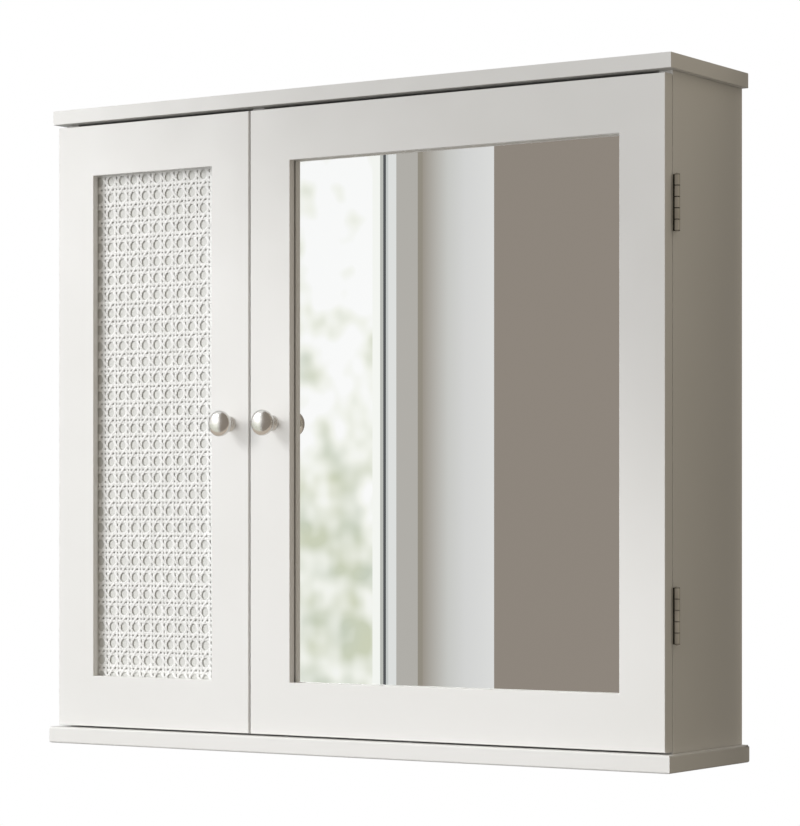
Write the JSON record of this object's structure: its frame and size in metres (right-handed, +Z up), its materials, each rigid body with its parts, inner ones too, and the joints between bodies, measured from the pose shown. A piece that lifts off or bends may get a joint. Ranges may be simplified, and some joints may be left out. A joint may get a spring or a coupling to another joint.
{
  "type": "hanging wall cabinet",
  "caption": "Shallow wall-hung cabinet with a narrow cane-panel door and a wide mirror door on butt hinges, a centre divider, shelves and turned metal knobs.",
  "frame": {"origin": "centre of the rear face, which lies on the wall", "axes": "+X to the right seen from the front, +Y into the wall, +Z up"},
  "size_m": [0.609, 0.1499, 0.55],
  "materials": {
    "white_paint": "satin white paint on fibreboard",
    "white_faced_board": "thin board with a matt white face",
    "hardboard": "plain hardboard",
    "beech": "plain fluted wood",
    "painted_cane": "woven cane painted white",
    "mirror": "silvered glass",
    "nickel_knob": "satin nickel",
    "nickel_steel": "nickel-plated steel",
    "zinc_steel": "zinc-plated steel",
    "catch_plastic": "white moulded plastic",
    "ferrite": "sintered ferrite"
  },
  "bodies": {
    "cabinet": {"top_board": "white_paint", "bottom_board": "white_paint", "left_side_panel": "white_paint", "right_side_panel": "white_paint", "centre_divider": "white_paint", "back_panel": "white_faced_board", "hanging_rail": "white_paint", "left_lower_shelf": "white_paint", "left_upper_shelf": "white_paint", "right_lower_shelf": "white_paint", "right_upper_shelf": "white_paint", "left_shelf_pins": "zinc_steel", "right_shelf_pins": "zinc_steel", "assembly_screws": "zinc_steel", "wooden_dowels": "beech", "back_panel_screws": "zinc_steel", "left_upper_hinge_frame_leaf": "nickel_steel", "left_lower_hinge_frame_leaf": "nickel_steel", "right_upper_hinge_frame_leaf": "nickel_steel", "right_lower_hinge_frame_leaf": "nickel_steel", "left_upper_hinge_pin": "nickel_steel", "left_lower_hinge_pin": "nickel_steel", "right_upper_hinge_pin": "nickel_steel", "right_lower_hinge_pin": "nickel_steel", "frame_hinge_screws": "zinc_steel", "left_catch_case": "catch_plastic", "right_catch_case": "catch_plastic", "left_catch_magnet": "ferrite", "right_catch_magnet": "ferrite", "catch_pole_plates": "zinc_steel", "catch_screws": "zinc_steel"},
    "left_door": {"left_door_frame": "white_paint", "cane_webbing": "painted_cane", "cane_backing_board": "white_faced_board", "left_panel_clips": "zinc_steel", "left_door_back_screws": "zinc_steel", "left_strike_plate": "zinc_steel", "left_knob": "nickel_knob", "left_knob_screw": "zinc_steel", "left_upper_hinge_door_leaf": "nickel_steel", "left_lower_hinge_door_leaf": "nickel_steel", "left_door_hinge_screws": "zinc_steel"},
    "right_door": {"right_door_frame": "white_paint", "mirror_glass": "mirror", "mirror_backing_board": "hardboard", "right_panel_clips": "zinc_steel", "right_door_back_screws": "zinc_steel", "right_strike_plate": "zinc_steel", "right_knob": "nickel_knob", "right_knob_screw": "zinc_steel", "right_upper_hinge_door_leaf": "nickel_steel", "right_lower_hinge_door_leaf": "nickel_steel", "right_door_hinge_screws": "zinc_steel"}
  },
  "joints": [
    {"name": "left_door_hinge", "type": "hinge", "parent": "cabinet", "child": "left_door", "pos_m": [-0.3019, -0.11835, 0], "axis": [0, 0, -1], "range_deg": [0, 180]},
    {"name": "right_door_hinge", "type": "hinge", "parent": "cabinet", "child": "right_door", "pos_m": [0.3019, -0.11835, 0], "axis": [0, 0, 1], "range_deg": [0, 180]}
  ]
}
